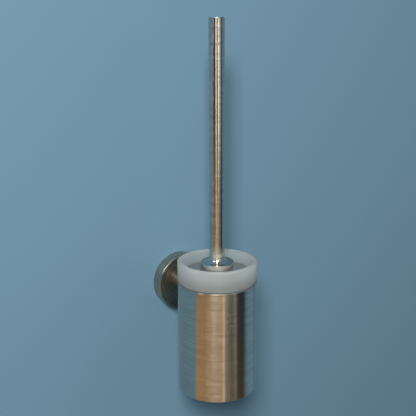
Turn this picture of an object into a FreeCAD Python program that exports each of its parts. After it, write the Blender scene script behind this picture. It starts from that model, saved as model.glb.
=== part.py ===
import FreeCAD, Part
import os
import Sketcher

# A wall-mounted toilet brush set: a wall plate under a round rosette, a short arm, a steel sleeve,
# a glass insert hanging in the sleeve, and a brush with a tubular handle and a lid standing in the glass.
#
# Frame: the wall is the plane Y = 0 and the object stands out of it towards -Y, +Z is up, and the
# origin is the centre of the rosette's back. Lengths are millimetres.
#
# Two sub-part frames are used. The cup frame has its Z axis on the sleeve's axis and Z = 0 at the
# sleeve's bottom edge. The wall frame has its origin at the rosette's centre and its Z axis out of the wall.

# ---------------------------------------------------------------- driving dimensions

DIMENSIONS = {
    # overall
    "OverallHeight": (390.0, "sleeve bottom to handle top"),
    "CupReach": (80.4, "wall to sleeve axis"),
    "ArmHeight": (98.6, "sleeve bottom to arm axis"),
    # sleeve
    "SleeveDiameter": (84.0, "outside"),
    "SleeveHeight": (120.0, ""),
    "SleeveWall": (1.2, ""),
    "SleeveEdge": (0.5, "rounding of the top edge"),
    "BaseRecess": (1.0, "base disc above the sleeve's bottom edge"),
    "BaseThickness": (1.5, ""),
    "BaseVentDiameter": (8.0, ""),
    # plastic seat between the sleeve and the glass
    "SeatThickness": (1.0, "under the glass rim"),
    "SeatSetback": (0.4, "behind the sleeve's outside"),
    "SeatLipWall": (1.6, "collar inside the sleeve"),
    "SeatLipDepth": (3.0, ""),
    # glass insert
    "GlassClearance": (0.3, "radial, inside the seat's collar"),
    "GlassRimHeight": (21.4, "part above the sleeve"),
    "GlassRimSetback": (0.2, "behind the sleeve's outside"),
    "GlassWall": (2.6, "below the rim"),
    "GlassFloor": (6.0, ""),
    "GlassBottomGap": (3.5, "glass above the base disc"),
    "GlassLipRound": (1.0, "rounding of the rim's two top edges"),
    "GlassUnderRound": (1.8, "rounding under the rim"),
    "GlassFloorRound": (4.0, ""),
    # handle
    "HandleDiameter": (16.0, ""),
    "HandleWall": (1.5, ""),
    "EndLength": (25.0, "solid end piece"),
    "EndSpigotLength": (8.0, ""),
    "EndEdge": (0.6, "rounding of the top edge"),
    "SeamEdge": (0.4, "chamfer each side of the end piece's seam"),
    "BushLength": (22.0, "threaded plug in the handle's foot"),
    # collar and lid
    "CollarDiameter": (35.0, ""),
    "CollarHeight": (10.7, "lid to the collar's flat"),
    "CollarEdge": (0.4, "rounding of both edges"),
    "CollarCove": (4.5, "hollow rounding between the collar's flat and its neck"),
    "CollarNeck": (0.8, "straight neck above the cove, flush with the handle"),
    "BushInCollar": (3.0, "foot of the bush in the collar's recess"),
    "BushClearance": (0.05, "radial"),
    "LidDiameter": (70.0, ""),
    "LidThickness": (1.5, ""),
    "LidDrop": (11.6, "lid face below the glass rim"),
    "LidEdge": (0.3, ""),
    "GasketDiameter": (30.0, ""),
    "GasketThickness": (1.0, ""),
    "WasherDiameter": (24.0, ""),
    "WasherThickness": (1.6, ""),
    "StudDiameter": (8.0, "M8 stud through the lid"),
    "StudGrip": (16.0, "stud in the bush, and in the brush stem"),
    "StudClearance": (0.2, "radial, in plain holes"),
    "LidNutAcross": (13.0, "across flats"),
    "LidNutHeight": (5.0, ""),
    "StemGap": (4.0, "bare stud between the nut and the stem"),
    # brush
    "StemDiameter": (14.0, ""),
    "CoreDiameter": (20.0, ""),
    "CoreTaper": (8.0, "height of the shoulder between stem and core"),
    "CoreNose": (6.0, "height of the core's bevelled nose"),
    "BristleHeight": (74.0, ""),
    "BristleClearance": (3.3, "radial, inside the glass"),
    "BristleShoulder": (8.0, "slope over the top of the bristles"),
    "BristleToe": (16.0, "slope under the bristles"),
    "BristleUnderCore": (22.0, "bristle length below the core"),
    "SoftClearance": (0.05, "between the bristle solid and the core"),
    # rosette and wall plate
    "RosetteDiameter": (64.0, ""),
    "RosetteDepth": (14.0, ""),
    "RosetteWall": (2.5, ""),
    "RosetteEdge": (0.8, "rounding of the front edge"),
    "PlateClearance": (0.5, "radial, inside the rosette"),
    "PlateThickness": (4.0, ""),
    "PlateStudRoom": (1.3, "between the arm stud's end and the plate"),
    "PlateWellClearance": (1.2, "radial, round the arm nut"),
    "PlateRimWall": (3.5, ""),
    "PlateRimHeight": (9.0, ""),
    "WallHoleDiameter": (5.0, ""),
    "WallHoleSpacing": (32.0, ""),
    "GripScrewDiameter": (4.0, "M4 set screw under the rosette"),
    "GripScrewHeight": (6.0, "set screw axis off the wall"),
    "GripScrewInset": (0.3, "socket end inside the rosette's outside"),
    "GripScrewSocket": (2.0, "hexagon across flats"),
    "GripScrewSocketDepth": (2.0, ""),
    "GrooveDepth": (1.2, "groove round the wall plate's rim"),
    "ThreadClearance": (0.02, "radial, thread drawn as a plain cylinder"),
    # arm
    "ArmDiameter": (16.0, ""),
    "ArmStudDiameter": (6.0, "M6 stud welded to the sleeve"),
    "ArmNutAcross": (10.0, "across flats"),
    "ArmNutHeight": (5.0, ""),
    "ArmNutProud": (1.0, "stud past the nut"),
    "ArmWasherDiameter": (12.0, ""),
    "ArmWasherThickness": (1.2, ""),
    "DowelDiameter": (2.0, ""),
    "DowelOffset": (5.6, "dowel axis below the arm's axis"),
    "DowelInRosette": (1.6, ""),
    "DowelInArm": (4.0, ""),
}

SHEET = "Dims"
FULL_TURN = 360
HEXAGON = 6
SAME_LENGTH = 1e-5
HEXAGON_ACROSS_TO_RADIUS = 1 / 3**0.5


class Size:
    """A length that carries its number and the spreadsheet formula that gives it."""

    def __init__(self, number, formula):
        self.number = number
        self.formula = formula

    def joined(self, sign, other, number):
        return Size(number, f"({self.formula} {sign} {as_size(other).formula})")

    def __add__(self, other):
        return self.joined("+", other, self.number + as_size(other).number)

    def __sub__(self, other):
        return self.joined("-", other, self.number - as_size(other).number)

    def __mul__(self, other):
        return self.joined("*", other, self.number * as_size(other).number)

    def __truediv__(self, other):
        return self.joined("/", other, self.number / as_size(other).number)

    def __neg__(self):
        return as_size(0.0) - self


def as_size(value):
    """A plain number as a Size; a Size as it is."""
    if isinstance(value, Size):
        return value
    return Size(float(value), repr(float(value)))


doc = FreeCAD.newDocument("ToiletBrushHolder")
sheet = doc.addObject("Spreadsheet::Sheet", SHEET)


def dimension(name):
    """The Size of one driving dimension."""
    return Size(DIMENSIONS[name][0], f"{SHEET}.{name}")


def fill_sheet():
    """Writes each driving dimension to the sheet: name, value with its alias, and what it is."""
    for row, (name, (value, meaning)) in enumerate(DIMENSIONS.items(), start=1):
        sheet.set(f"A{row}", name)
        sheet.set(f"B{row}", str(value))
        sheet.set(f"C{row}", meaning)
        sheet.setAlias(f"B{row}", name)
    doc.recompute()


# ---------------------------------------------------------------- modelling helpers

sub_parts = []


def bind(owner, path, size):
    """Binds one property of an object to a Size's formula."""
    owner.setExpression(path, as_size(size).formula)


def new_body(label):
    """A PartDesign body that is one sub-part."""
    body = doc.addObject("PartDesign::Body", label)
    body.Label = label
    sub_parts.append(body)
    return body


def add_feature(body, kind, name):
    """A new feature at the body's tip."""
    feature = body.newObject(f"PartDesign::{kind}", f"{body.Label}_{name}")
    body.Tip = feature
    return feature


def origin_plane(body, role):
    """One of the body's own origin planes."""
    return next(plane for plane in body.Origin.OriginFeatures if plane.Role == role)


def fix_point(sketch, edge, across, up, name):
    """Holds an edge's start point at (across, up), on the sketch's axes where a value is zero."""
    for kind, axis, value in (("DistanceX", -2, across), ("DistanceY", -1, up)):
        value = as_size(value)
        if value.number == 0:
            sketch.addConstraint(Sketcher.Constraint("PointOnObject", edge, 1, axis))
            continue
        index = sketch.addConstraint(Sketcher.Constraint(kind, -1, 1, edge, 1, value.number))
        sketch.renameConstraint(index, f"{name}{kind[-1]}")
        bind(sketch, f"Constraints.{name}{kind[-1]}", value)


def turned(label, outline):
    """A body turned about its Z axis from a closed outline of (radius, height) corners."""
    body = new_body(label)
    sketch = body.newObject("Sketcher::SketchObject", f"{label}_outline")
    sketch.AttachmentSupport = (origin_plane(body, "XZ_Plane"), [""])
    sketch.MapMode = "FlatFace"
    corners = [FreeCAD.Vector(as_size(r).number, as_size(z).number, 0) for r, z in outline]
    count = len(corners)
    for edge in range(count):
        sketch.addGeometry(Part.LineSegment(corners[edge], corners[(edge + 1) % count]))
    for edge in range(count):
        sketch.addConstraint(Sketcher.Constraint("Coincident", edge, 2, (edge + 1) % count, 1))
    for edge, (radius, height) in enumerate(outline):
        fix_point(sketch, edge, radius, height, f"corner{edge}")
    turn = add_feature(body, "Revolution", "turned")
    turn.Profile = sketch
    turn.ReferenceAxis = (sketch, ["V_Axis"])
    turn.Angle = FULL_TURN
    return body


def tube(outer, inner, low, high):
    """The outline of a plain tube, or of a disc where the inner radius is zero."""
    return [(inner, low), (outer, low), (outer, high), (inner, high)]


def set_place(owner, base, axis=(1, 0, 0), angle=0):
    """Puts an object at base, turned by angle degrees about axis, with the base bound to its sizes."""
    owner.Placement = FreeCAD.Placement(FreeCAD.Vector(), FreeCAD.Rotation(FreeCAD.Vector(*axis), angle))
    for letter, value in zip("xyz", base):
        if as_size(value).number != 0:
            bind(owner, f"Placement.Base.{letter}", value)


def round_tool(body, kind, name, radius, height, base, angle=0):
    """A cylinder added to or cut from a body, from base, its axis turned about X from +Z."""
    tool = add_feature(body, f"{kind}Cylinder", name)
    bind(tool, "Radius", radius)
    bind(tool, "Height", height)
    set_place(tool, base, angle=angle)
    return tool


def hexagon_tool(body, kind, name, across, height, base):
    """A hexagonal prism added to or cut from a body, given across its flats."""
    tool = add_feature(body, f"{kind}Prism", name)
    tool.Polygon = HEXAGON
    bind(tool, "Circumradius", across * HEXAGON_ACROSS_TO_RADIUS)
    bind(tool, "Height", height)
    set_place(tool, base)
    return tool


def rim_edges(shape, rims):
    """The names of a shape's circular edges about Z at the given (radius, height) rims."""
    names = []
    for radius, height in rims:
        found = [
            f"Edge{number}"
            for number, edge in enumerate(shape.Edges, start=1)
            if isinstance(edge.Curve, Part.Circle)
            and abs(edge.Curve.Radius - as_size(radius).number) < SAME_LENGTH
            and abs(edge.Curve.Center.z - as_size(height).number) < SAME_LENGTH
            and abs(edge.Curve.Axis.z) > 0.999
        ]
        if not found:
            raise RuntimeError(f"no rim of radius {as_size(radius).number} to dress")
        names += found
    return names


def dressed(body, kind, name, size, rims):
    """Rounds or chamfers a body's circular edges."""
    doc.recompute()
    base = body.Tip
    names = rim_edges(base.Shape, rims)
    edge_work = add_feature(body, kind, name)
    edge_work.Base = (base, names)
    bind(edge_work, "Radius" if kind == "Fillet" else "Size", size)
    return edge_work


def in_cup_frame(*bodies):
    """Places bodies that are modelled in the cup frame."""
    for body in bodies:
        set_place(body, (0, -dimension("CupReach"), -dimension("ArmHeight")))


def in_wall_frame(*bodies):
    """Places bodies that are modelled in the wall frame: their Z axis points out of the wall."""
    for body in bodies:
        set_place(body, (0, 0, 0), angle=90)


# ---------------------------------------------------------------- shared places

fill_sheet()

# Radii of the cup, from the sleeve inwards.
sleeve_radius = dimension("SleeveDiameter") / 2
sleeve_bore = sleeve_radius - dimension("SleeveWall")
seat_bore = sleeve_bore - dimension("SeatLipWall")
glass_radius = seat_bore - dimension("GlassClearance")
glass_bore = glass_radius - dimension("GlassWall")
glass_rim_radius = sleeve_radius - dimension("GlassRimSetback")

# Heights in the cup frame, from the bottom up.
base_top = dimension("BaseRecess") + dimension("BaseThickness")
glass_bottom = base_top + dimension("GlassBottomGap")
glass_floor_top = glass_bottom + dimension("GlassFloor")
seat_top = dimension("SleeveHeight") + dimension("SeatThickness")
glass_top = seat_top + dimension("GlassRimHeight")
lid_top = glass_top - dimension("LidDrop")
lid_bottom = lid_top - dimension("LidThickness")
gasket_bottom = lid_bottom - dimension("GasketThickness")
washer_bottom = gasket_bottom - dimension("WasherThickness")
lid_nut_bottom = washer_bottom - dimension("LidNutHeight")
stem_top = lid_nut_bottom - dimension("StemGap")
stud_bottom = stem_top - dimension("StudGrip")
collar_top = lid_top + dimension("CollarHeight")
handle_foot = collar_top + dimension("CollarCove") + dimension("CollarNeck")
bush_bottom = handle_foot - dimension("BushInCollar")
stud_top = handle_foot + dimension("StudGrip")
handle_top = dimension("OverallHeight")
tube_top = handle_top - dimension("EndLength")

# Radii of the handle and the stud.
handle_radius = dimension("HandleDiameter") / 2
handle_bore = handle_radius - dimension("HandleWall")
stud_radius = dimension("StudDiameter") / 2
stud_hole = stud_radius + dimension("StudClearance")
stud_thread = stud_radius + dimension("ThreadClearance")

# Distances off the wall, in the wall frame.
rosette_radius = dimension("RosetteDiameter") / 2
rosette_bore = rosette_radius - dimension("RosetteWall")
rosette_front = dimension("RosetteDepth")
rosette_inside = rosette_front - dimension("RosetteWall")
plate_radius = rosette_bore - dimension("PlateClearance")
groove_radius = plate_radius - dimension("GrooveDepth")
arm_washer_back = rosette_inside - dimension("ArmWasherThickness")
arm_nut_back = arm_washer_back - dimension("ArmNutHeight")
arm_stud_end = arm_nut_back - dimension("ArmNutProud")
arm_stud_radius = dimension("ArmStudDiameter") / 2
arm_stud_hole = arm_stud_radius + dimension("StudClearance")
arm_radius = dimension("ArmDiameter") / 2
cope_end = dimension("CupReach") - sleeve_radius / 2


# ---------------------------------------------------------------- wall fixing

def make_wall_plate():
    """A dished plate with two screw holes, a well for the arm nut, and the set screw's groove."""
    grip = dimension("GripScrewHeight")
    half_floor = dimension("GrooveDepth")
    half_mouth = half_floor * 2
    rim_bore = plate_radius - dimension("PlateRimWall")
    well_floor = arm_stud_end - dimension("PlateStudRoom")
    nut_corner = dimension("ArmNutAcross") * HEXAGON_ACROSS_TO_RADIUS
    well_radius = nut_corner + dimension("PlateWellClearance")
    body = turned("wall_plate", [
        (0, 0),
        (plate_radius, 0),
        (plate_radius, grip - half_mouth),
        (groove_radius, grip - half_floor),
        (groove_radius, grip + half_floor),
        (plate_radius, grip + half_mouth),
        (plate_radius, dimension("PlateRimHeight")),
        (rim_bore, dimension("PlateRimHeight")),
        (rim_bore, dimension("PlateThickness")),
        (well_radius, dimension("PlateThickness")),
        (well_radius, well_floor),
        (0, well_floor),
    ])
    for side, name in ((1, "right_hole"), (-1, "left_hole")):
        round_tool(
            body, "Subtractive", name, dimension("WallHoleDiameter") / 2,
            dimension("PlateThickness") * 2,
            (dimension("WallHoleSpacing") / 2 * side, 0, -dimension("PlateThickness") / 2),
        )
    in_wall_frame(body)


def make_rosette():
    """The round cover: a shallow cup open to the wall, bored for the arm's stud, dowel and set screw."""
    body = turned("rosette", [
        (rosette_bore, 0),
        (rosette_radius, 0),
        (rosette_radius, rosette_front),
        (arm_stud_hole, rosette_front),
        (arm_stud_hole, rosette_inside),
        (rosette_bore, rosette_inside),
    ])
    dressed(body, "Fillet", "front_edge", dimension("RosetteEdge"), [(rosette_radius, rosette_front)])
    round_tool(
        body, "Subtractive", "grip_screw_hole",
        dimension("GripScrewDiameter") / 2 + dimension("ThreadClearance"), rosette_radius,
        (0, -rosette_radius / 2, dimension("GripScrewHeight")), angle=90,
    )
    round_tool(
        body, "Subtractive", "dowel_hole",
        dimension("DowelDiameter") / 2 + dimension("ThreadClearance"), dimension("RosetteWall"),
        (0, -dimension("DowelOffset"), rosette_front - dimension("DowelInRosette")),
    )
    in_wall_frame(body)


def make_rosette_set_screw():
    """The set screw that clamps the rosette: its tip bears in the wall plate's groove."""
    radius = dimension("GripScrewDiameter") / 2
    tip = dimension("GrooveDepth")
    length = rosette_radius - dimension("GripScrewInset") - groove_radius
    body = turned("rosette_set_screw", [
        (0, 0),
        (radius - tip, 0),
        (radius, tip),
        (radius, length),
        (0, length),
    ])
    socket = dimension("GripScrewSocketDepth")
    hexagon_tool(
        body, "Subtractive", "socket", dimension("GripScrewSocket"), socket * 2, (0, 0, length - socket)
    )
    set_place(body, (0, -dimension("GripScrewHeight"), -groove_radius), angle=180)


# ---------------------------------------------------------------- arm

def cope_to_sleeve(body):
    """Cuts a body of the wall frame back to the sleeve's outside."""
    reach = dimension("ArmDiameter")
    round_tool(
        body, "Subtractive", "cope", sleeve_radius, reach * 2,
        (0, -reach, dimension("CupReach")), angle=-90,
    )


def make_arm():
    """The spacer tube between the rosette and the sleeve, coped to the sleeve."""
    body = turned("arm", tube(arm_radius, arm_stud_hole, rosette_front, cope_end))
    cope_to_sleeve(body)
    round_tool(
        body, "Subtractive", "dowel_hole",
        dimension("DowelDiameter") / 2 + dimension("ThreadClearance"), dimension("DowelInArm") * 2,
        (0, -dimension("DowelOffset"), rosette_front - dimension("DowelInArm")),
    )
    in_wall_frame(body)


def make_arm_stud():
    """The threaded stud welded to the sleeve's back; it runs through the arm into the rosette."""
    body = turned("arm_stud", tube(arm_stud_radius, 0, arm_stud_end, cope_end))
    cope_to_sleeve(body)
    in_wall_frame(body)


def make_arm_washer():
    """The washer under the arm nut, inside the rosette."""
    body = turned("arm_washer", tube(
        dimension("ArmWasherDiameter") / 2, arm_stud_hole, arm_washer_back, rosette_inside
    ))
    in_wall_frame(body)


def make_arm_nut():
    """The nut that pulls the sleeve, arm and rosette together."""
    body = new_body("arm_nut")
    hexagon_tool(
        body, "Additive", "hexagon", dimension("ArmNutAcross"), dimension("ArmNutHeight"),
        (0, 0, arm_nut_back),
    )
    round_tool(
        body, "Subtractive", "thread", arm_stud_radius + dimension("ThreadClearance"), rosette_front,
        (0, 0, dimension("ArmNutProud")),
    )
    in_wall_frame(body)


def make_arm_dowel():
    """The pin that keeps the arm from turning on the rosette."""
    low = rosette_front - dimension("DowelInRosette")
    high = rosette_front + dimension("DowelInArm")
    body = new_body("arm_dowel")
    round_tool(
        body, "Additive", "pin", dimension("DowelDiameter") / 2, high - low,
        (0, -dimension("DowelOffset"), low),
    )
    in_wall_frame(body)


# ---------------------------------------------------------------- sleeve and glass

def make_sleeve():
    """The steel sleeve, square at the bottom and slightly rounded at the top."""
    body = turned("sleeve", tube(sleeve_radius, sleeve_bore, 0, dimension("SleeveHeight")))
    dressed(
        body, "Fillet", "top_edge", dimension("SleeveEdge"), [(sleeve_radius, dimension("SleeveHeight"))]
    )
    in_cup_frame(body)


def make_sleeve_base():
    """The disc pressed into the sleeve's bottom, with a vent hole."""
    body = turned("sleeve_base", tube(
        sleeve_bore, dimension("BaseVentDiameter") / 2, dimension("BaseRecess"), base_top
    ))
    in_cup_frame(body)


def make_seat_ring():
    """The plastic ring that the glass rim rests on, with a collar inside the sleeve's mouth."""
    body = turned("seat_ring", [
        (seat_bore, dimension("SleeveHeight") - dimension("SeatLipDepth")),
        (sleeve_bore, dimension("SleeveHeight") - dimension("SeatLipDepth")),
        (sleeve_bore, dimension("SleeveHeight")),
        (sleeve_radius - dimension("SeatSetback"), dimension("SleeveHeight")),
        (sleeve_radius - dimension("SeatSetback"), seat_top),
        (seat_bore, seat_top),
    ])
    in_cup_frame(body)


def make_glass_insert():
    """The frosted glass tumbler: a thick rim that stands on the seat, and a thinner cup in the sleeve."""
    body = turned("glass_insert", [
        (0, glass_bottom),
        (glass_radius, glass_bottom),
        (glass_radius, seat_top),
        (glass_rim_radius, seat_top),
        (glass_rim_radius, glass_top),
        (glass_bore, glass_top),
        (glass_bore, glass_floor_top),
        (0, glass_floor_top),
    ])
    dressed(body, "Fillet", "lip_edges", dimension("GlassLipRound"), [
        (glass_rim_radius, glass_top),
        (glass_bore, glass_top),
    ])
    dressed(body, "Fillet", "under_edge", dimension("GlassUnderRound"), [(glass_rim_radius, seat_top)])
    dressed(body, "Fillet", "floor_edges", dimension("GlassFloorRound"), [
        (glass_radius, glass_bottom),
        (glass_bore, glass_floor_top),
    ])
    in_cup_frame(body)


# ---------------------------------------------------------------- handle

def make_handle_tube():
    """The long handle tube; its foot stands on the collar's neck."""
    body = turned("handle_tube", tube(handle_radius, handle_bore, handle_foot, tube_top))
    dressed(body, "Chamfer", "seam_edge", dimension("SeamEdge"), [
        (handle_radius, tube_top),
        (handle_radius, handle_foot),
    ])
    in_cup_frame(body)


def make_handle_end():
    """The solid end piece, held by a spigot in the top of the tube."""
    body = turned("handle_end", [
        (0, tube_top - dimension("EndSpigotLength")),
        (handle_bore, tube_top - dimension("EndSpigotLength")),
        (handle_bore, tube_top),
        (handle_radius, tube_top),
        (handle_radius, handle_top),
        (0, handle_top),
    ])
    dressed(body, "Chamfer", "seam_edge", dimension("SeamEdge"), [(handle_radius, tube_top)])
    dressed(body, "Fillet", "top_edge", dimension("EndEdge"), [(handle_radius, handle_top)])
    in_cup_frame(body)


def make_handle_bush():
    """The threaded plug fixed in the foot of the handle tube; its end centres the collar."""
    body = turned("handle_bush", tube(
        handle_bore, stud_thread, bush_bottom, bush_bottom + dimension("BushLength")
    ))
    in_cup_frame(body)


# ---------------------------------------------------------------- collar and lid

def make_collar():
    """The turned collar: a flat rim, and a cove up to a neck as wide as the handle."""
    recess = handle_bore + dimension("BushClearance")
    body = turned("collar", [
        (stud_hole, lid_top),
        (dimension("CollarDiameter") / 2, lid_top),
        (dimension("CollarDiameter") / 2, collar_top),
        (handle_radius, collar_top),
        (handle_radius, handle_foot),
        (recess, handle_foot),
        (recess, bush_bottom),
        (stud_hole, bush_bottom),
    ])
    dressed(body, "Fillet", "cove", dimension("CollarCove"), [(handle_radius, collar_top)])
    dressed(body, "Fillet", "edges", dimension("CollarEdge"), [
        (dimension("CollarDiameter") / 2, collar_top),
        (dimension("CollarDiameter") / 2, lid_top),
    ])
    dressed(body, "Chamfer", "seam_edge", dimension("SeamEdge"), [(handle_radius, handle_foot)])
    in_cup_frame(body)


def make_lid():
    """The flat disc that covers the glass."""
    body = turned("lid", tube(dimension("LidDiameter") / 2, stud_hole, lid_bottom, lid_top))
    dressed(body, "Fillet", "edges", dimension("LidEdge"), [
        (dimension("LidDiameter") / 2, lid_bottom),
        (dimension("LidDiameter") / 2, lid_top),
    ])
    in_cup_frame(body)


def make_lid_gasket():
    """The rubber ring between the lid and its washer."""
    body = turned("lid_gasket", tube(
        dimension("GasketDiameter") / 2, stud_hole, gasket_bottom, lid_bottom
    ))
    in_cup_frame(body)


def make_lid_washer():
    """The steel washer under the gasket."""
    body = turned("lid_washer", tube(
        dimension("WasherDiameter") / 2, stud_hole, washer_bottom, gasket_bottom
    ))
    in_cup_frame(body)


def make_lid_nut():
    """The nut that clamps the lid to the collar."""
    body = new_body("lid_nut")
    hexagon_tool(
        body, "Additive", "hexagon", dimension("LidNutAcross"), dimension("LidNutHeight"),
        (0, 0, lid_nut_bottom),
    )
    round_tool(
        body, "Subtractive", "thread", stud_thread, dimension("LidNutHeight") * 2,
        (0, 0, lid_nut_bottom - dimension("LidNutHeight") / 2),
    )
    in_cup_frame(body)


def make_brush_stud():
    """The threaded stud through the collar and the lid, into the bush above and the stem below."""
    body = turned("brush_stud", tube(stud_radius, 0, stud_bottom, stud_top))
    in_cup_frame(body)


# ---------------------------------------------------------------- brush head

core_bottom = glass_floor_top + dimension("BristleUnderCore")
bristle_bottom = glass_floor_top
bristle_top = bristle_bottom + dimension("BristleHeight")
core_radius = dimension("CoreDiameter") / 2
stem_radius = dimension("StemDiameter") / 2


def core_outline(grown):
    """The core's outside from the nose up to the stem, grown by a clearance."""
    return [
        (core_radius - dimension("CoreNose") + grown, core_bottom - grown),
        (core_radius + grown, core_bottom + dimension("CoreNose")),
        (core_radius + grown, bristle_top),
    ]


def make_brush_core():
    """The moulded stem and core of the replaceable brush head, with a threaded socket on top."""
    body = turned("brush_core", [(0, core_bottom)] + core_outline(as_size(0)) + [
        (stem_radius, bristle_top + dimension("CoreTaper")),
        (stem_radius, stem_top),
        (stud_thread, stem_top),
        (stud_thread, stud_bottom),
        (0, stud_bottom),
    ])
    in_cup_frame(body)


def make_bristles():
    """The outer form of the bristles as one closed solid around the core."""
    bristle_radius = glass_bore - dimension("BristleClearance")
    slope = dimension("BristleShoulder")
    toe = dimension("BristleToe")
    grown = dimension("SoftClearance")
    inside = core_outline(grown)
    body = turned("bristles", [
        (0, bristle_bottom),
        (bristle_radius - toe, bristle_bottom),
        (bristle_radius, bristle_bottom + toe),
        (bristle_radius, bristle_top - slope),
        (bristle_radius - slope, bristle_top),
    ] + inside[::-1] + [(0, core_bottom - grown)])
    in_cup_frame(body)


# ---------------------------------------------------------------- build, check and write

MAKERS = (
    make_wall_plate, make_rosette, make_rosette_set_screw,
    make_arm, make_arm_stud, make_arm_washer, make_arm_nut, make_arm_dowel,
    make_sleeve, make_sleeve_base, make_seat_ring, make_glass_insert,
    make_handle_tube, make_handle_end, make_handle_bush,
    make_collar, make_lid, make_lid_gasket, make_lid_washer, make_lid_nut, make_brush_stud,
    make_brush_core, make_bristles,
)


def check_cuts(body):
    """Raises if a cutting feature of the body removed nothing."""
    before = 0.0
    for feature in body.Group:
        if not feature.isDerivedFrom("PartDesign::Feature"):
            continue
        volume = feature.Shape.Volume
        if "Subtractive" in feature.TypeId and volume >= before - SAME_LENGTH:
            raise RuntimeError(f"{feature.Label} cuts nothing")
        before = volume


def check_document():
    """Raises if any object failed, or any sub-part isn't one valid solid."""
    for owner in doc.Objects:
        if "Invalid" in owner.State or "Error" in owner.State:
            raise RuntimeError(f"{owner.Label} failed: {owner.State}")
    for body in sub_parts:
        shape = body.Shape
        if shape.isNull() or not shape.isValid() or len(shape.Solids) != 1:
            raise RuntimeError(f"{body.Label} is not one valid solid")
        check_cuts(body)


def write_parts():
    """Writes each sub-part to its own STEP file and prints its size."""
    os.makedirs("parts", exist_ok=True)
    for body in sub_parts:
        body.Shape.exportStep(os.path.join("parts", f"{body.Label}.step"))
        box = body.Shape.BoundBox
        print(
            f"{body.Label:20s} x {box.XMin:8.2f} {box.XMax:8.2f}  y {box.YMin:8.2f} {box.YMax:8.2f}"
            f"  z {box.ZMin:8.2f} {box.ZMax:8.2f}  volume {body.Shape.Volume:10.1f}"
        )


for make in MAKERS:
    make()
doc.recompute()
check_document()
write_parts()
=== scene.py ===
"""Wall-mounted toilet brush set: finishes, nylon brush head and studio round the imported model.

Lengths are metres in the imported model's frame: +Z is up, the wall is the plane Y = 0, the object
stands out of it towards -Y, and the origin is the centre of the rosette's back.
"""

import logging
import math
from dataclasses import dataclass
from enum import Enum
from typing import Any

import bmesh
import bpy
import numpy as np
from mathutils import Matrix, Vector


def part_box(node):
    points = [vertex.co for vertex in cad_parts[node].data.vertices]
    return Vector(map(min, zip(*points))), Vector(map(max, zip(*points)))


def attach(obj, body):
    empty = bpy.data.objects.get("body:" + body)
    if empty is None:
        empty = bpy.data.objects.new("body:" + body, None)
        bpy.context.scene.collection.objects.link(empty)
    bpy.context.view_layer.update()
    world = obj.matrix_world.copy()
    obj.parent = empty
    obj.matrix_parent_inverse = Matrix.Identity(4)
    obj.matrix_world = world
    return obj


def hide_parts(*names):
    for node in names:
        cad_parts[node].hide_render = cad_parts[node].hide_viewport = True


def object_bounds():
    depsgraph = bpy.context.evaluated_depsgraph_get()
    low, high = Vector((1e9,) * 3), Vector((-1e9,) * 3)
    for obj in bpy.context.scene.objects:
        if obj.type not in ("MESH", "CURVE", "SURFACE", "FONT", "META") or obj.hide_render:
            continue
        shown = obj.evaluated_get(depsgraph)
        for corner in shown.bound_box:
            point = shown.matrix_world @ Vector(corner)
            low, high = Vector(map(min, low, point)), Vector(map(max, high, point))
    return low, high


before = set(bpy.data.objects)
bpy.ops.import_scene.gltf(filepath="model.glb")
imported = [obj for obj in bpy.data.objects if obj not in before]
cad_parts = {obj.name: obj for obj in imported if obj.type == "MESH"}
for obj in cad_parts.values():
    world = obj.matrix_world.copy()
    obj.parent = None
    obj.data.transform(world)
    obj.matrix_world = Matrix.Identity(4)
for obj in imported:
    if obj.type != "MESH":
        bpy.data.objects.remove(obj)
CAD_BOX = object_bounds()

MM = 0.001
FULL_TURN = 2 * math.pi
MERGE_DISTANCE = 1e-7  # points nearer than this are one point

# A mix node's sockets for two colours and their result.
MIX_FIRST, MIX_SECOND, MIX_RESULT = 6, 7, 2
# Nearly all of a noise's values lie between these two.
NOISE_LOW, NOISE_HIGH = 0.25, 0.75
# The square of a cosine times the square of a sine is at most this, at 45 degrees.
MOST_EDGE_SHARE = 0.25

log = logging.getLogger("toilet_brush_set")


class Body(Enum):
    """The bodies that a piece can ride on."""

    HOLDER = "holder"
    INSERT = "insert"
    BRUSH = "brush"


class Axis(Enum):
    """The axis that a turned piece is round about."""

    CUP = (0.0, 0.0, 1.0)
    WALL = (0.0, 1.0, 0.0)


# ---------------------------------------------------------------- small helpers


def linear(hex_colour: str) -> tuple[float, float, float, float]:
    """Turns an sRGB hex colour into a linear colour with full alpha.

    The sRGB curve is a straight line for dark channels, and a power of 2.4 above them.

    Args:
        hex_colour: six hexadecimal digits after a hash.

    Returns:
        Red, green, blue and alpha.
    """
    channels = [int(hex_colour[i : i + 2], 16) / 255 for i in (1, 3, 5)]
    red, green, blue = (c / 12.92 if c <= 0.04045 else ((c + 0.055) / 1.055) ** 2.4 for c in channels)
    return red, green, blue, 1.0


def add_node(
    tree: bpy.types.NodeTree,
    kind: str,
    settings: dict[str | int, Any] | None = None,
    links: dict[str | int, bpy.types.NodeSocket] | None = None,
) -> bpy.types.Node:
    """Adds a shader node, sets it and links its inputs.

    Args:
        tree: the material's node tree.
        kind: the node's type.
        settings: values by input socket, or by property of the node where no socket has that name.
        links: source sockets by input socket.

    Returns:
        The new node.
    """
    node = tree.nodes.new(kind)
    for key, value in (settings or {}).items():
        if isinstance(key, int) or key in node.inputs:
            node.inputs[key].default_value = value
        else:
            setattr(node, key, value)
    for key, source in (links or {}).items():
        tree.links.new(source, node.inputs[key])
    return node


def new_material(name: str) -> tuple[bpy.types.Material, bpy.types.NodeTree]:
    """Makes an empty node material.

    Args:
        name: the finish's name.

    Returns:
        The material and its node tree.
    """
    material = bpy.data.materials.new(name)
    material.use_nodes = True
    material.node_tree.nodes.clear()
    return material, material.node_tree


def add_surface(tree: bpy.types.NodeTree, shader: bpy.types.NodeSocket) -> None:
    """Links a shader to the material's output."""
    add_node(tree, "ShaderNodeOutputMaterial", links={"Surface": shader})


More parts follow.
